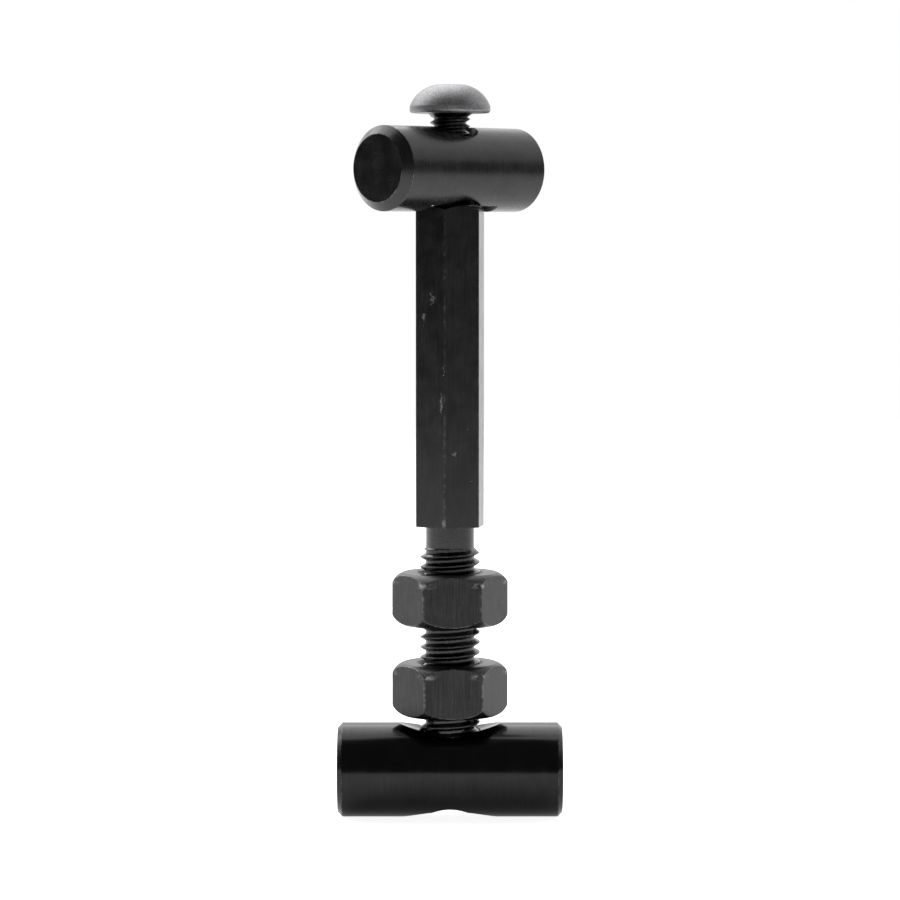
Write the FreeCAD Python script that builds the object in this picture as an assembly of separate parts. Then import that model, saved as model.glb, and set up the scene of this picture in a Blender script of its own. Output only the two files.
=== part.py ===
import FreeCAD, Part
import math
import os

# Adjustable hex post with a round cross bar at each end, in millimetres.
# Origin: the lowest point of the lower bar, on the axis of the post. +Z runs up the post,
# +X along the lower bar. A right-hand thread joins the post to the lower bar and carries two nuts,
# and a button-head screw holds the upper bar on the post, free to swivel.

# Lower bar
LOWER_BAR_D = 9.4
LOWER_BAR_LENGTH = 22.35
LOWER_BAR_CHAMFER = 0.45
LOWER_SINK_WIDTH = 2.0          # from the hole's edge to the countersink's rim, on the bar's top line

# Thread on the post, and the plain bores that stand for its nut threads
STUD_D = 6.0
STUD_PITCH = 1.0
THREAD_CLEARANCE = 0.05         # radial, between a thread's crest and the bore round it
STUD_END_INSET = 1.5            # end of the stud above the lowest line of the lower bar
STUD_END_CHAMFER = 0.6
NECK_DEPTH = 0.6                # radial, below the thread's nominal radius
NECK_LENGTH = 2.1

# Nuts, and where they stand on the stud
NUT_AF = 10.0
NUT_HEIGHT = 5.2
NUT_BORE_CHAMFER = 0.3
NUT_EDGE_ROUND = 0.12           # radius of the six upright edges
NUT_FLAT_END_D = 9.4            # circle where the flat end meets the rounded corners
NUT_CORNER_DROP = 1.0           # height taken off a sharp corner
NUT_CORNER_BULGE = 0.15         # of the corner's arc beyond its chord
LOWER_NUT_TURN = 4.0            # degrees
UPPER_NUT_TURN = 2.5
BAR_TO_NUT = 0.85
NUT_TO_NUT = 3.82
NUT_TO_POST = 4.6

# Hex post
HEX_AF = 6.3
HEX_LENGTH = 31.68
HEX_TURN = 21.5                 # degrees
HEX_EDGE_ROUND = 0.1            # radius of the six long edges
HEX_TOP_CHAMFER = 0.15          # radial, measured at the middle of a flat
HEX_TOP_ANGLE = 30.0            # degrees between the chamfer and the flat end

# Upper bar
UPPER_BAR_D = 8.35
UPPER_BAR_LENGTH = 20.2
UPPER_BAR_CHAMFER = 0.85
UPPER_BAR_TURN = 46.0           # degrees from the lower bar, about +Z
UPPER_HOLE_CLEARANCE = 0.75     # radial, round the screw
UPPER_HOLE_CHAMFER = 0.12
SEAT_DEPTH = 0.6                # flat seat cut into the underside for the post's end
SEAT_MARGIN = 1.5               # radial, beyond the corners of the post
SWIVEL_GAP = 0.05               # between the seat and the post's end, with the screw loose

# Button-head screw
SCREW_D = 4.0
SCREW_PITCH = 0.7
SCREW_ENGAGEMENT = 6.85         # thread inside the post
SCREW_END_CHAMFER = 0.4
SCREW_COLLAR_WIDTH = 0.3        # radial, of the cone that joins the shank to the head
SCREW_COLLAR_HEIGHT = 0.5
HEAD_D = 7.96
HEAD_HEIGHT = 2.8
HEAD_RIM = 0.65
HEAD_FOOT_ROUND = 0.28          # radius of the rim's lower edge
HEAD_SHOULDER_D = 6.4           # a circle on the dome, and its height above the head's underside
HEAD_SHOULDER_HEIGHT = 1.87
HEAD_FLAT_D = 2.7
HEAD_GAP = 1.35                 # under the head, above the upper bar
SOCKET_AF = 2.5
SOCKET_DEPTH = 1.5
SCREW_HOLE_SPARE = 5.85         # hole depth beyond the end of the screw
SCREW_HOLE_CHAMFER = 0.25

# Shape of every thread, as shares of the pitch or in millimetres
THREAD_HEIGHT_SHARE = 0.5413
CREST_SHARE = 0.125
CREST_ALLOWANCE = 0.02          # radial, of the crest below nominal
RIDGE_ROOT = 0.08               # how deep the ridge starts inside the core
FLANK_ANGLE = 30.0              # degrees between a thread's flank and the plane across its axis

# Drilled holes
SINK_ANGLE = 70.0               # degrees between a countersink's wall and its axis
DRILL_ANGLE = 59.0              # degrees between a drill point's wall and its axis

# Heights of the stack
LOWER_AXIS_Z = LOWER_BAR_D / 2
LOWER_NUT_Z = LOWER_BAR_D + BAR_TO_NUT
UPPER_NUT_Z = LOWER_NUT_Z + NUT_HEIGHT + NUT_TO_NUT
HEX_BOTTOM_Z = UPPER_NUT_Z + NUT_HEIGHT + NUT_TO_POST
HEX_TOP_Z = HEX_BOTTOM_Z + HEX_LENGTH
SEAT_Z = HEX_TOP_Z + SWIVEL_GAP
UPPER_AXIS_Z = SEAT_Z + UPPER_BAR_D / 2 - SEAT_DEPTH
UPPER_BAR_TOP_Z = UPPER_AXIS_Z + UPPER_BAR_D / 2
HEAD_Z = UPPER_BAR_TOP_Z + HEAD_GAP
SCREW_END_Z = HEX_TOP_Z - SCREW_ENGAGEMENT

UP = FreeCAD.Vector(0, 0, 1)
ORIGIN = FreeCAD.Vector(0, 0, 0)
NEAR = 0.01                     # places closer than this are the same place


def cylinder(radius, z_low, z_high):
    return Part.makeCylinder(radius, z_high - z_low, FreeCAD.Vector(0, 0, z_low))


def cone(radius_low, radius_high, z_low, z_high):
    return Part.makeCone(radius_low, radius_high, z_high - z_low, FreeCAD.Vector(0, 0, z_low))


def turned(outline):
    """Solid of revolution about Z from (radius, z) points that start and end on the axis."""
    points = [FreeCAD.Vector(r, 0, z) for r, z in outline]
    wire = Part.makePolygon(points + points[:1])
    return Part.Face(wire).revolve(ORIGIN, UP, 360)


def hex_prism(across_flats, z_low, z_high, turn, edge_round=0):
    """Hexagonal prism with one flat facing -Y, turned by the angle about +Z."""
    radius = across_flats / math.sqrt(3)
    angles = [math.radians(turn + 60 * i) for i in range(6)]
    points = [FreeCAD.Vector(radius * math.cos(a), radius * math.sin(a), z_low) for a in angles]
    face = Part.Face(Part.makePolygon(points + points[:1]))
    prism = face.extrude(FreeCAD.Vector(0, 0, z_high - z_low))
    if edge_round:
        upright = [e for e in prism.Edges if abs(e.BoundBox.ZLength - (z_high - z_low)) < NEAR]
        prism = prism.makeFillet(edge_round, upright)
    return prism


def crest_radius(diameter):
    return diameter / 2 - CREST_ALLOWANCE


def bore_radius(diameter):
    return diameter / 2 + THREAD_CLEARANCE


def thread_ridge(diameter, pitch, z_low, z_high):
    """Right-hand helical ridge, a little sunk into the core, over the heights given."""
    crest = crest_radius(diameter)
    base = crest - THREAD_HEIGHT_SHARE * pitch - RIDGE_ROOT
    half_crest = CREST_SHARE * pitch / 2
    half_base = half_crest + (crest - base) * math.tan(math.radians(FLANK_ANGLE))
    corners = [(base, -half_base), (crest, -half_crest), (crest, half_crest), (base, half_base)]
    points = [FreeCAD.Vector(r, 0, z_low + z) for r, z in corners]
    profile = Part.makePolygon(points + points[:1])
    helix = Part.makeHelix(pitch, z_high - z_low, crest)
    helix.translate(FreeCAD.Vector(0, 0, z_low))
    return Part.Wire(helix.Edges).makePipeShell([profile], True, True)


def threaded_rod(diameter, pitch, z_low, z_high, low_chamfer, high_chamfer):
    """Threaded rod whose ends are turned down to below the thread's root."""
    crest = crest_radius(diameter)
    core = crest - THREAD_HEIGHT_SHARE * pitch
    ridge = thread_ridge(diameter, pitch, z_low - pitch, z_high + pitch)
    outline = [(0, z_low), (crest - low_chamfer, z_low), (crest + CREST_ALLOWANCE, z_low + low_chamfer)]
    outline += [(crest + CREST_ALLOWANCE, z_high - high_chamfer), (crest - high_chamfer, z_high), (0, z_high)]
    trimmed = ridge.common(turned(outline))
    body = cylinder(core, z_low, z_high).common(turned(outline))
    return body.fuse(trimmed)


def round_bar(diameter, length, chamfer, axis_z):
    """Round bar along X with chamfered ends, centred over the origin."""
    start = FreeCAD.Vector(-length / 2, 0, axis_z)
    bar = Part.makeCylinder(diameter / 2, length, start, FreeCAD.Vector(1, 0, 0))
    end_edges = [e for e in bar.Edges if e.isClosed() and abs(abs(e.CenterOfMass.x) - length / 2) < NEAR]
    return bar.makeChamfer(chamfer, end_edges)


def cross_hole(radius, sink_width, bar_diameter, axis_z):
    """Cutter for a hole through a bar along Z, countersunk to the width given on both sides."""
    half = bar_diameter / 2
    depth = sink_width / math.tan(math.radians(SINK_ANGLE))
    beyond = half
    wide = radius + sink_width + beyond * math.tan(math.radians(SINK_ANGLE))
    cutter = cylinder(radius, axis_z - half - beyond, axis_z + half + beyond)
    top = cone(radius, wide, axis_z + half - depth, axis_z + half + beyond)
    bottom = cone(wide, radius, axis_z - half - beyond, axis_z - half + depth)
    return cutter.fuse([top, bottom])


def arc(start, middle, end):
    return Part.Arc(start, middle, end).toShape()


def rounded_nut_blank(z_low, z_high):
    """Turned blank with a flat circle at each end and a convex arc over the nut's corners."""
    end_radius, corner_radius = NUT_FLAT_END_D / 2, NUT_AF / math.sqrt(3)
    run, rise = corner_radius - end_radius, NUT_CORNER_DROP
    chord = math.hypot(run, rise)
    bulge_out = NUT_CORNER_BULGE * rise / chord
    bulge_down = NUT_CORNER_BULGE * run / chord

    def at(radius, z):
        return FreeCAD.Vector(radius, 0, z)

    middle_radius = (end_radius + corner_radius) / 2 + bulge_out
    middle_drop = rise / 2 - bulge_down
    low = [at(end_radius, z_low), at(middle_radius, z_low + middle_drop), at(corner_radius, z_low + rise)]
    high = [at(corner_radius, z_high - rise), at(middle_radius, z_high - middle_drop), at(end_radius, z_high)]
    edges = [Part.makeLine(at(0, z_low), low[0]), arc(*low), Part.makeLine(low[2], high[0])]
    edges += [arc(*high), Part.makeLine(high[2], at(0, z_high)), Part.makeLine(at(0, z_high), at(0, z_low))]
    return Part.Face(Part.Wire(edges)).revolve(ORIGIN, UP, 360)


def make_lower_bar():
    bar = round_bar(LOWER_BAR_D, LOWER_BAR_LENGTH, LOWER_BAR_CHAMFER, LOWER_AXIS_Z)
    return bar.cut(cross_hole(bore_radius(STUD_D), LOWER_SINK_WIDTH, LOWER_BAR_D, LOWER_AXIS_Z))


def make_nut(z_low, turn):
    z_high = z_low + NUT_HEIGHT
    hexagon = hex_prism(NUT_AF, z_low, z_high, turn, NUT_EDGE_ROUND)
    bore = bore_radius(STUD_D)
    mouth = bore + NUT_BORE_CHAMFER
    cutter = cylinder(bore, z_low, z_high)
    cutter = cutter.fuse([cone(mouth, bore, z_low, z_low + NUT_BORE_CHAMFER),
                          cone(bore, mouth, z_high - NUT_BORE_CHAMFER, z_high)])
    return hexagon.common(rounded_nut_blank(z_low, z_high)).cut(cutter)


def make_hex_post():
    """Hex bar, tapped at its top end, with a neck and a threaded stud turned below it."""
    end_radius = HEX_AF / 2 - HEX_TOP_CHAMFER
    drop = (HEX_AF - end_radius) * math.tan(math.radians(HEX_TOP_ANGLE))
    hexagon = hex_prism(HEX_AF, HEX_BOTTOM_Z, HEX_TOP_Z, HEX_TURN, HEX_EDGE_ROUND)
    top = turned([(0, HEX_BOTTOM_Z), (HEX_AF, HEX_BOTTOM_Z), (HEX_AF, HEX_TOP_Z - drop),
                  (end_radius, HEX_TOP_Z), (0, HEX_TOP_Z)])
    hole_radius = bore_radius(SCREW_D)
    hole_bottom = SCREW_END_Z - SCREW_HOLE_SPARE
    point = hole_radius / math.tan(math.radians(DRILL_ANGLE))
    mouth = hole_radius + SCREW_HOLE_CHAMFER
    hole = cylinder(hole_radius, hole_bottom, HEX_TOP_Z)
    hole = hole.fuse([cone(0, hole_radius, hole_bottom - point, hole_bottom),
                      cone(hole_radius, mouth, HEX_TOP_Z - SCREW_HOLE_CHAMFER, HEX_TOP_Z)])
    thread_top = HEX_BOTTOM_Z - NECK_LENGTH
    neck_radius = STUD_D / 2 - NECK_DEPTH
    neck = cylinder(neck_radius, thread_top, HEX_BOTTOM_Z)
    run_out = crest_radius(STUD_D) - neck_radius
    stud = threaded_rod(STUD_D, STUD_PITCH, STUD_END_INSET, thread_top, STUD_END_CHAMFER, run_out)
    return hexagon.common(top).cut(hole).fuse([neck, stud])


def make_upper_bar():
    """Round bar with a plain cross hole and a flat seat in its underside for the post's end."""
    hole_radius = SCREW_D / 2 + UPPER_HOLE_CLEARANCE
    seat_radius = HEX_AF / math.sqrt(3) + SEAT_MARGIN
    bar = round_bar(UPPER_BAR_D, UPPER_BAR_LENGTH, UPPER_BAR_CHAMFER, UPPER_AXIS_Z)
    bar = bar.cut(cross_hole(hole_radius, UPPER_HOLE_CHAMFER, UPPER_BAR_D, UPPER_AXIS_Z))
    bar = bar.cut(cylinder(seat_radius, SEAT_Z - UPPER_BAR_D, SEAT_Z))
    bar.rotate(ORIGIN, UP, UPPER_BAR_TURN)
    return bar


def make_head():
    """Button head: a short rim rounded at its foot, a domed top with a small flat, and a hex socket."""

    def at(radius, height):
        return FreeCAD.Vector(radius, 0, HEAD_Z + height)

    foot, rim = at(HEAD_D / 2 - HEAD_FOOT_ROUND, 0), at(HEAD_D / 2, HEAD_RIM)
    rim_low = at(HEAD_D / 2, HEAD_FOOT_ROUND)
    inset = HEAD_FOOT_ROUND * (1 - math.sqrt(0.5))
    foot_middle = at(HEAD_D / 2 - inset, inset)
    shoulder, flat = at(HEAD_SHOULDER_D / 2, HEAD_SHOULDER_HEIGHT), at(HEAD_FLAT_D / 2, HEAD_HEIGHT)
    edges = [Part.makeLine(at(0, 0), foot), arc(foot, foot_middle, rim_low)]
    edges += [Part.makeLine(rim_low, rim), arc(rim, shoulder, flat)]
    edges += [Part.makeLine(flat, at(0, HEAD_HEIGHT)), Part.makeLine(at(0, HEAD_HEIGHT), at(0, 0))]
    head = Part.Face(Part.Wire(edges)).revolve(ORIGIN, UP, 360)
    socket_z = HEAD_Z + HEAD_HEIGHT - SOCKET_DEPTH
    socket = hex_prism(SOCKET_AF, socket_z, HEAD_Z + 2 * HEAD_HEIGHT, 0)
    point = SOCKET_AF / 2 / math.tan(math.radians(SINK_ANGLE))
    return head.cut(socket).cut(cone(0, SOCKET_AF / 2, socket_z - point, socket_z))


def make_screw():
    run_out = THREAD_HEIGHT_SHARE * SCREW_PITCH
    shank = threaded_rod(SCREW_D, SCREW_PITCH, SCREW_END_Z, HEAD_Z, SCREW_END_CHAMFER, run_out)
    collar_radius = SCREW_D / 2 + SCREW_COLLAR_WIDTH
    collar = cone(crest_radius(SCREW_D) - run_out, collar_radius, HEAD_Z - SCREW_COLLAR_HEIGHT, HEAD_Z)
    return make_head().fuse([shank, collar])


PIECES = {
    "lower_bar": make_lower_bar(),
    "lower_nut": make_nut(LOWER_NUT_Z, LOWER_NUT_TURN),
    "upper_nut": make_nut(UPPER_NUT_Z, UPPER_NUT_TURN),
    "hex_post": make_hex_post(),
    "upper_bar": make_upper_bar(),
    "button_head_screw": make_screw(),
}

os.makedirs("parts", exist_ok=True)
for name, shape in PIECES.items():
    piece = shape.removeSplitter()
    solids = piece.Solids
    print(f"{name}: {len(solids)} solid, valid {piece.isValid()}, {piece.Volume:.1f} mm3, {piece.BoundBox}")
    solids[0].exportStep(f"parts/{name}.step")
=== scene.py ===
import bpy
import math
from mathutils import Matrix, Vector


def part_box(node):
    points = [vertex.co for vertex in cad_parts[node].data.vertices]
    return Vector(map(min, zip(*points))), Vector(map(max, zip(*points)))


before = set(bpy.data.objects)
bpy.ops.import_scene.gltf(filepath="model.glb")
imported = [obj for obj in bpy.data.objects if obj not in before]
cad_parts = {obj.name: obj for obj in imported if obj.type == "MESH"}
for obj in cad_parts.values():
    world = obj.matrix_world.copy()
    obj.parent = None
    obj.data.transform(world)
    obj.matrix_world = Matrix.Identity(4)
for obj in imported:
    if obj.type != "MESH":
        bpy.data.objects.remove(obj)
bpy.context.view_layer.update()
MM = 0.001
scene = bpy.context.scene
scene.view_settings.view_transform = "Standard"


# ---------------------------------------------------------------- camera and studio, in metres

CAMERA_DISTANCE = 339.3 * MM
CAMERA_HEIGHT = 58.65 * MM
CAMERA_PITCH = math.radians(3.715)
CAMERA_CLIP_START = 10 * MM
LENS_MM = 137.1
SENSOR_MM = 36

FLOOR_HALF = 0.8
FLOOR_COLOUR = (0.92, 0.92, 0.92, 1)
FLOOR_ROUGHNESS = 0.9
FLOOR_SOLID_RADIUS = 0.20       # inside it the floor is opaque
FLOOR_FADE_RADIUS = 0.75        # beyond it the floor is clear
FLOOR_GLOW_COLOUR = (1, 1, 1, 1)
FLOOR_GLOW_SEEN = 0.9           # the floor is a light table, dimmer in reflections than to the eye
FLOOR_GLOW_REFLECTED = 0.3

# name, place, what it faces, size, watts
SOFTBOXES = [("overhead_box", (-0.5, 0.45, 0.6), (-0.5, 0.45, 0.0), (1.3, 1.0), 8.5),
             ("side_box", (0.56, 0.03, 0.50), (0, 0, 0.06), (0.45, 0.6), 0.45)]

AMBIENT_LEFT = 0.05             # how bright reflections show each side of the room
AMBIENT_RIGHT = 0.13
AMBIENT_BACK = 1.2
LEFT_TO_RIGHT = (-0.8, 0.5)     # a direction's X, over which the left side becomes the right
FRONT_TO_BACK = (0.05, 0.5)     # a direction's Y, over which the room becomes the backdrop


def make_camera():
    data = bpy.data.cameras.new("camera")
    data.lens = LENS_MM
    data.sensor_width = SENSOR_MM
    data.clip_start = CAMERA_CLIP_START
    camera = bpy.data.objects.new("camera", data)
    camera.location = (0, -CAMERA_DISTANCE, CAMERA_HEIGHT)
    camera.rotation_euler = (math.pi / 2 - CAMERA_PITCH, 0, 0)
    scene.collection.objects.link(camera)
    scene.camera = camera


def make_softboxes():
    """A large panel overhead, behind and to the left, and a small one high on the right."""
    for name, place, target, size, watts in SOFTBOXES:
        data = bpy.data.lights.new(name, "AREA")
        data.shape = "RECTANGLE"
        data.size, data.size_y = size
        data.energy = watts
        lamp = bpy.data.objects.new(name, data)
        lamp.location = place
        lamp.rotation_euler = (Vector(target) - Vector(place)).to_track_quat("-Z", "Y").to_euler()
        lamp.visible_camera = False
        scene.collection.objects.link(lamp)


# ---------------------------------------------------------------- node helpers

BLUE_OF_GREY = 1.03


class Graph:
    """A node tree with short calls: an input takes a socket, which is linked, or a constant."""

    def __init__(self, tree):
        self.tree = tree

    def give(self, target, value):
        if isinstance(value, bpy.types.NodeSocket):
            self.tree.links.new(value, target)
        else:
            target.default_value = value

    def add(self, kind, inputs=None, **settings):
        node = self.tree.nodes.new(kind)
        for key, value in settings.items():
            setattr(node, key, value)
        for key, value in (inputs or {}).items():
            self.give(node.inputs[key], value)
        return node

    def calc(self, operation, a, b=0.0, clamp=False):
        return self.add("ShaderNodeMath", {0: a, 1: b}, operation=operation, use_clamp=clamp).outputs[0]

    def ramp(self, value, low, high, to_low=0.0, to_high=1.0):
        """Maps low..high to to_low..to_high with a smooth step, clamped."""
        inputs = {"Value": value, "From Min": low, "From Max": high, "To Min": to_low, "To Max": to_high}
        return self.add("ShaderNodeMapRange", inputs, interpolation_type="SMOOTHSTEP").outputs["Result"]

    def mix(self, share, a, b):
        return self.add("ShaderNodeMix", {0: share, 2: a, 3: b}, data_type="FLOAT").outputs[0]

    def vector(self, operation, a, b=(0, 0, 0)):
        return self.add("ShaderNodeVectorMath", {0: a, 1: b}, operation=operation)

    def length(self, a):
        return self.vector("LENGTH", a).outputs["Value"]

    def grey(self, value):
        """A grey colour, very slightly blue, as bright as the value."""
        inputs = {"Red": value, "Green": value, "Blue": self.calc("MULTIPLY", value, BLUE_OF_GREY)}
        return self.add("ShaderNodeCombineColor", inputs).outputs[0]



def new_material(name):
    material = bpy.data.materials.new(name)
    material.use_nodes = True
    return material, Graph(material.node_tree), material.node_tree.nodes["Principled BSDF"]


# ---------------------------------------------------------------- floor and surroundings

def make_floor():
    """A flat pale light table that fades out away from the object."""
    h = FLOOR_HALF
    mesh = bpy.data.meshes.new("floor")
    mesh.from_pydata([(-h, -h, 0), (h, -h, 0), (h, h, 0), (-h, h, 0)], [], [(0, 1, 2, 3)])
    floor = bpy.data.objects.new("floor", mesh)
    scene.collection.objects.link(floor)
    material, graph, shader = new_material("floor")
    shader.inputs["Base Color"].default_value = FLOOR_COLOUR
    shader.inputs["Roughness"].default_value = FLOOR_ROUGHNESS
    shader.inputs["Emission Color"].default_value = FLOOR_GLOW_COLOUR
    seen = graph.add("ShaderNodeLightPath").outputs["Is Camera Ray"]
    graph.give(shader.inputs["Emission Strength"], graph.mix(seen, FLOOR_GLOW_REFLECTED, FLOOR_GLOW_SEEN))
    radius = graph.length(graph.add("ShaderNodeTexCoord").outputs["Object"])
    graph.give(shader.inputs["Alpha"], graph.ramp(radius, FLOOR_SOLID_RADIUS, FLOOR_FADE_RADIUS, 1.0, 0.0))
    mesh.materials.append(material)


def make_world():
    """White to the eye, and in reflections a dark room in front of a white backdrop."""
    world = bpy.data.worlds.new("studio")
    world.use_nodes = True
    graph = Graph(world.node_tree)
    direction = graph.add("ShaderNodeTexCoord").outputs["Generated"]
    towards = graph.add("ShaderNodeSeparateXYZ", {0: direction}).outputs
    room = graph.ramp(towards["X"], *LEFT_TO_RIGHT, AMBIENT_LEFT, AMBIENT_RIGHT)
    reflected = graph.mix(graph.ramp(towards["Y"], *FRONT_TO_BACK), room, AMBIENT_BACK)
    seen = graph.add("ShaderNodeLightPath").outputs["Is Camera Ray"]
    graph.give(world.node_tree.nodes["Background"].inputs["Color"], graph.mix(seen, reflected, 1.0))
    scene.world = world


# ---------------------------------------------------------------- places on the object, in millimetres

def top_of(node):
    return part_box(node)[1].z / MM


POST_ACROSS_FLATS = 6.3
HEXAGON_LENGTH = 31.68
NECK_LENGTH = 2.1
NUT_ACROSS_FLATS = 10.0
NUT_TIP_DROP = 1.1              # from a nut's top down to just below where its chamfer cuts the corners
HEAD_DROP = 2.85                # from the top of the screw's head to just below it

HEXAGON_FOOT = top_of("hex_post") - HEXAGON_LENGTH
THREAD_TOP = HEXAGON_FOOT - NECK_LENGTH     # below it the stud's thread, above it the turned neck
UNDER_HEAD = top_of("button_head_screw") - HEAD_DROP
NUT_TIPS = [top_of(node) - NUT_TIP_DROP for node in ("lower_nut", "upper_nut")]
POST_CORNER = POST_ACROSS_FLATS / math.sqrt(3)
NUT_CORNER = NUT_ACROSS_FLATS / math.sqrt(3)
UPPER_BAR_TURN = math.radians(46)           # from the lower bar, which lies along X

# centre and size of each worn spot on the post
POST_MARKS = [((-1.9, -2.9, 51.8), (0.7, 0.7, 1.3)), ((-2.6, -2.0, 49.9), (0.4, 0.5, 0.6)),
              ((-0.85, -3.3, 41.3), (0.25, 0.5, 2.0)), ((-0.6, -3.3, 44.6), (0.22, 0.5, 1.3)),
              ((0.4, -3.2, 36.4), (0.40, 0.4, 0.35)), ((-0.6, -3.4, 29.5), (0.40, 0.6, 0.75))]


# ---------------------------------------------------------------- patterns in black oxide

# noise per millimetre along X, Y and Z
ALONG_Z = (11.0, 11.0, 0.30)
ROUND_A_BAR = (16.0, 0.35, 0.35)
TURNED = (0.7, 0.7, 12.0)
CLOUDS = (0.45, 0.45, 0.45)
DUST = (9.0, 9.0, 9.0)
WEAR_AND_GLINT_PATCHES = (1.6, 1.6, 1.6)
RAGGED_EDGE = (4.0, 4.0, 4.0)

SEED_STEPS = (1.0, 1.7, 2.3)    # how far a seed shifts a noise along X, Y and Z
NOISE_SPAN = (0.3, 0.7)         # where most of a noise's values lie
WEAR_AND_GLINT_SPAN = (0.42, 0.62)        # from none to full wear and painted glint
ROUGHNESS_SWING = (-0.02, 0.03)

EDGE_RADIUS = 0.12 * MM
EDGE_SAMPLES = 4
EDGE_LEAN = (0.995, 0.90)       # cosine between the rounded normal and the true one: face, sharp edge
CORNER_BAND = 0.12              # how far in from a corner the wear and painted edge highlight reach
CORNER_WEAR_AND_GLINT = 0.30              # of the lift on a sharp edge, painted as a pale line of wear and edge highlight down each upright corner
TIP_REACH = 0.62                # how far in from a corner's end the wear and painted glint reach
TIP_RISE = 0.35                 # how far up the corner's end it reaches
TIP_SOFTNESS = 0.2              # how softly it ends there
BAND_SOFTNESS = 0.05            # how softly a turned band ends

SCRATCH_STRETCH = (0.55, 7.0, 7.0)
SCRATCH_CELLS = 0.35            # scale of the cells that hold one scratch each
SCRATCH_LINE = (0.16, 0.04)     # distance from a cell's centre: clear, full scratch
SCRATCH_WEAR = 0.5              # of the wear on a sharp edge
MARK_RAGGEDNESS = 1.6
MARK_EDGE = (1.45, 1.05)        # ragged distance from the centre: clear, full mark
MARK_SEED_STEP = 1.3
WEAR_AND_GLINT_ROUGHNESS = 0.1            # added on the wear and painted glints

RELIEF = 0.01 * MM              # height of the grain
DUST_RELIEF = 0.35              # of the grain's height
SCRATCH_RELIEF = 1.5            # of the grain's height, cut into it


def coordinates(graph, turn):
    """Place in millimetres, turned about Z so that a bar's own length lies along X."""
    place = graph.add("ShaderNodeTexCoord").outputs["Object"]
    mapping = {"Vector": place, "Rotation": (0, 0, -turn), "Scale": (1 / MM, 1 / MM, 1 / MM)}
    return graph.add("ShaderNodeMapping", mapping, vector_type="POINT").outputs[0]


def noise(graph, place, scale, detail, roughness, seed):
    """Noise from 0 to 1 whose scale per millimetre may differ by axis; the seed shifts it."""
    stretched = graph.vector("MULTIPLY", place, scale).outputs[0]
    shift = [seed * step for step in SEED_STEPS]
    shifted = graph.vector("ADD", stretched, shift).outputs[0]
    inputs = {"Vector": shifted, "Scale": 1.0, "Detail": detail, "Roughness": roughness}
    return graph.add("ShaderNodeTexNoise", inputs).outputs["Fac"]


def swing(graph, pattern, share):
    """A noise as a factor from 1 - share to 1 + share."""
    return graph.ramp(pattern, *NOISE_SPAN, 1 - share, 1 + share)


def height_band(graph, place, low, high, soft=BAND_SOFTNESS):
    """1 between the two heights, 0 outside."""
    z = graph.add("ShaderNodeSeparateXYZ", {0: place}).outputs["Z"]
    above = graph.ramp(z, low - soft, low + soft)
    below = graph.ramp(z, high - soft, high + soft, 1.0, 0.0)
    return graph.calc("MULTIPLY", above, below)


def sharp_edges(graph, rounded):
    """1 on sharp edges and 0 on faces, from how far the rounded normal leans away from the true one."""
    true_normal = graph.add("ShaderNodeNewGeometry").outputs["Normal"]
    lean = graph.vector("DOT_PRODUCT", rounded, true_normal).outputs["Value"]
    return graph.ramp(lean, *EDGE_LEAN)


def worn_and_glinting_corners(graph, place, edges, corner, tips):
    """The edges, with a hexagon's upright corners and their ends at the tips' heights added: wear, and
    with it painted edge highlights and glints.
    """
    radius = graph.length(graph.vector("MULTIPLY", place, (1, 1, 0)).outputs[0])
    upright = graph.ramp(radius, corner - CORNER_BAND, corner, 0.0, CORNER_WEAR_AND_GLINT)
    edges = graph.calc("MAXIMUM", edges, upright)
    beyond_flats = graph.ramp(radius, corner - TIP_REACH, corner - CORNER_BAND)
    for height in tips:
        band = height_band(graph, place, height, height + TIP_RISE, TIP_SOFTNESS)
        edges = graph.calc("MAXIMUM", edges, graph.calc("MULTIPLY", beyond_flats, band))
    return edges


def scratches(graph, place, turn, density, seed):
    """Short thin scratches: sparse stretched cells, one way round by the turn given."""
    mapping = {"Vector": place, "Rotation": turn, "Scale": SCRATCH_STRETCH, "Location": (seed, seed, seed)}
    cells_at = graph.add("ShaderNodeMapping", mapping, vector_type="POINT").outputs[0]
    cells = graph.add("ShaderNodeTexVoronoi", {"Vector": cells_at, "Scale": SCRATCH_CELLS}, feature="F1")
    line = graph.ramp(cells.outputs["Distance"], *SCRATCH_LINE)
    lot = graph.add("ShaderNodeSeparateColor", {0: cells.outputs["Color"]}).outputs[0]
    return graph.calc("MULTIPLY", line, graph.calc("LESS_THAN", lot, density))


def mark(graph, place, centre, size, seed):
    """One ragged spot of wear: an ellipsoid round the centre, broken up by noise."""
    away = graph.vector("SUBTRACT", place, centre).outputs[0]
    distance = graph.length(graph.vector("DIVIDE", away, size).outputs[0])
    ragged = noise(graph, place, RAGGED_EDGE, detail=2.0, roughness=0.6, seed=seed)
    distance = graph.calc("ADD", distance, graph.calc("MULTIPLY", ragged, MARK_RAGGEDNESS))
    return graph.ramp(distance, *MARK_EDGE)


# ---------------------------------------------------------------- black oxide

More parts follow.
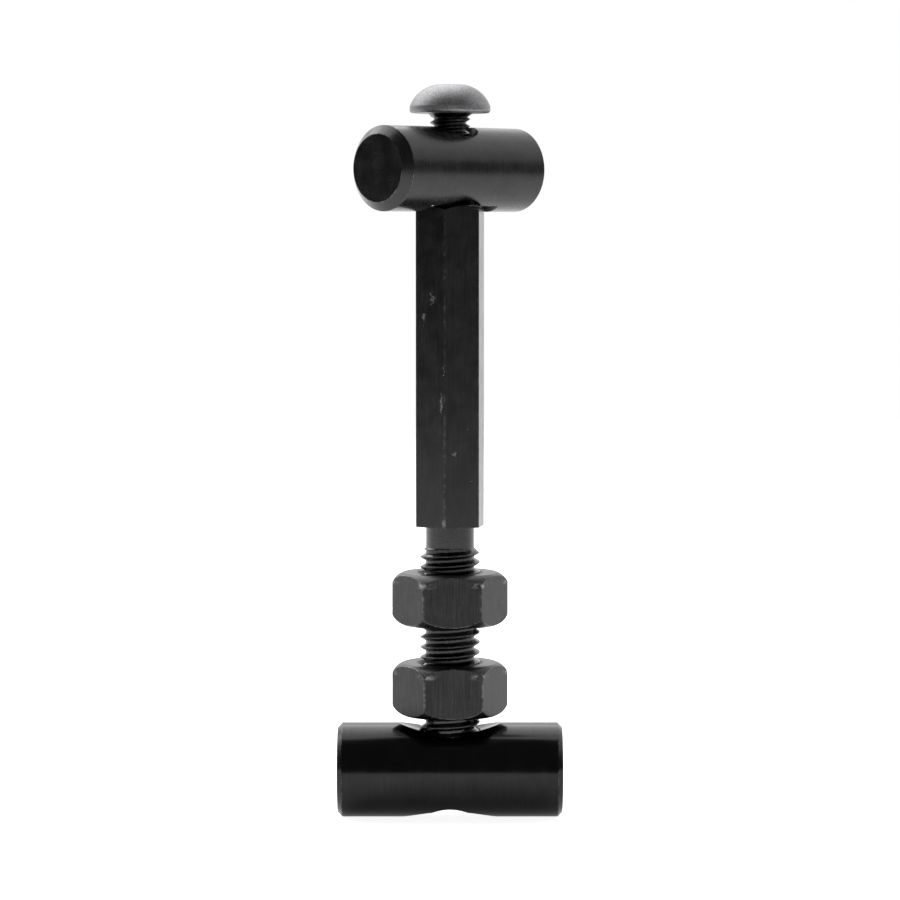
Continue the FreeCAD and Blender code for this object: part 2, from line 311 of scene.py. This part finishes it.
def oxide(name, tone, rough, grain_scale, grain, bump, wear_and_glint_lift, turn=0.0, blotch=0.08, speckle=0.0,
          scratch=0.05, scratch_turn=(0, 0, 0.6), marks=(), bands=(), corner=None, tips=()):
    """Black-oxide steel: grain by the way it was cut, faint blotches, edges lightened for wear and as
    painted glints, scratches and marks.

    bands are (low, high, tone, roughness) by height, for what was turned on the same piece.
    corner is the radius of a hexagon's corners, and tips the heights where their wear and painted glints
    are strongest."""
    material, graph, shader = new_material(name)
    place = coordinates(graph, turn)
    rounded = graph.add("ShaderNodeBevel", {"Radius": EDGE_RADIUS}, samples=EDGE_SAMPLES).outputs[0]
    edges = sharp_edges(graph, rounded)
    # hexagon corners and their ends lightened: wear, and painted edge highlights
    if corner:
        edges = worn_and_glinting_corners(graph, place, edges, corner, tips)

    lines = noise(graph, place, grain_scale, detail=4.0, roughness=0.65, seed=3.1)
    clouds = noise(graph, place, CLOUDS, detail=4.0, roughness=0.6, seed=7.7)
    dust = noise(graph, place, DUST, detail=2.0, roughness=0.5, seed=11.3)
    patches = noise(graph, place, WEAR_AND_GLINT_PATCHES, detail=4.0, roughness=0.7, seed=5.9)

    if bands:
        turned_lines = noise(graph, place, TURNED, detail=4.0, roughness=0.65, seed=4.4)
        lowest = min(band[0] for band in bands)
        highest = max(band[1] for band in bands)
        lines = graph.mix(height_band(graph, place, lowest, highest), lines, turned_lines)
    for low, high, band_tone, band_rough in bands:
        inside = height_band(graph, place, low, high)
        tone = graph.mix(inside, tone, band_tone)
        rough = graph.mix(inside, rough, band_rough)

    # the edges' lift is partly wear and partly painted glints, on thread crests and edge lines as well
    wear_and_glints = graph.calc("MULTIPLY", edges, graph.ramp(patches, *WEAR_AND_GLINT_SPAN))
    scored = scratches(graph, place, scratch_turn, scratch, seed=2.4)
    wear_and_glints = graph.calc("MAXIMUM", wear_and_glints, graph.calc("MULTIPLY", scored, SCRATCH_WEAR))
    for number, (centre, size) in enumerate(marks):
        wear_and_glints = graph.calc("MAXIMUM", wear_and_glints, mark(graph, place, centre, size, MARK_SEED_STEP * number))

    shade = graph.calc("MULTIPLY", swing(graph, lines, grain), swing(graph, clouds, blotch))
    if speckle:
        shade = graph.calc("MULTIPLY", shade, swing(graph, dust, speckle))
    colour = graph.calc("MULTIPLY", tone, shade)
    # lightens the colour on the edges: wear, and painted glints
    colour = graph.calc("ADD", colour, graph.calc("MULTIPLY", wear_and_glints, wear_and_glint_lift))

    roughness = graph.calc("ADD", rough, graph.ramp(clouds, *NOISE_SPAN, *ROUGHNESS_SWING))
    roughness = graph.calc("ADD", roughness, graph.ramp(lines, *NOISE_SPAN, *ROUGHNESS_SWING))
    added = graph.calc("MULTIPLY", wear_and_glints, WEAR_AND_GLINT_ROUGHNESS)
    roughness = graph.calc("ADD", roughness, added, clamp=True)

    height = graph.calc("ADD", lines, graph.calc("MULTIPLY", dust, DUST_RELIEF))
    height = graph.calc("SUBTRACT", height, graph.calc("MULTIPLY", scored, SCRATCH_RELIEF))
    relief = {"Strength": bump, "Distance": RELIEF, "Height": height, "Normal": rounded}

    shader.inputs["Metallic"].default_value = 1.0
    graph.give(shader.inputs["Base Color"], graph.grey(colour))
    graph.give(shader.inputs["Roughness"], roughness)
    graph.give(shader.inputs["Normal"], graph.add("ShaderNodeBump", relief).outputs[0])
    return material


# ---------------------------------------------------------------- the pieces' finishes

def finish(material, *nodes):
    for node in nodes:
        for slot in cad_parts[node].material_slots:
            slot.material = material


def finish_lower_bar():
    finish(oxide("oxide_polished", 0.031, 0.16, ROUND_A_BAR, grain=0.10, bump=0.06, wear_and_glint_lift=0.14,
                 scratch=0.03, scratch_turn=(0, 0, 0.3)), "lower_bar")


def finish_nuts():
    finish(oxide("oxide_nut", 0.047, 0.34, ALONG_Z, grain=0.26, bump=0.30, wear_and_glint_lift=0.34,
                 blotch=0.14, speckle=0.12, scratch=0.08, scratch_turn=(0.4, 0, 0.9),
                 corner=NUT_CORNER, tips=NUT_TIPS), "lower_nut", "upper_nut")


def finish_post():
    """The hexagon, and below it a turned neck that is duller and a thread that is glossier."""
    bands = [(0.0, THREAD_TOP, 0.06, 0.17), (THREAD_TOP, HEXAGON_FOOT, 0.08, 0.28)]
    finish(oxide("oxide_post", 0.055, 0.22, ALONG_Z, grain=0.10, bump=0.12, wear_and_glint_lift=0.16,
                 scratch=0.05, scratch_turn=(0, 1.3, 0.2), marks=POST_MARKS, bands=bands,
                 corner=POST_CORNER), "hex_post")


def finish_upper_bar():
    finish(oxide("oxide_satin", 0.055, 0.26, ROUND_A_BAR, turn=UPPER_BAR_TURN, grain=0.09, bump=0.07,
                 wear_and_glint_lift=0.25, scratch=0.02, scratch_turn=(0, 0.7, 0.8)), "upper_bar")


def finish_screw():
    """A pale matte head on a dark thread."""
    finish(oxide("oxide_screw", 0.26, 0.48, ALONG_Z, grain=0.06, bump=0.35, wear_and_glint_lift=0.16, speckle=0.35,
                 bands=[(0.0, UNDER_HEAD, 0.05, 0.28)]), "button_head_screw")


make_camera()
make_softboxes()
make_floor()
make_world()
finish_lower_bar()
finish_nuts()
finish_post()
finish_upper_bar()
finish_screw()
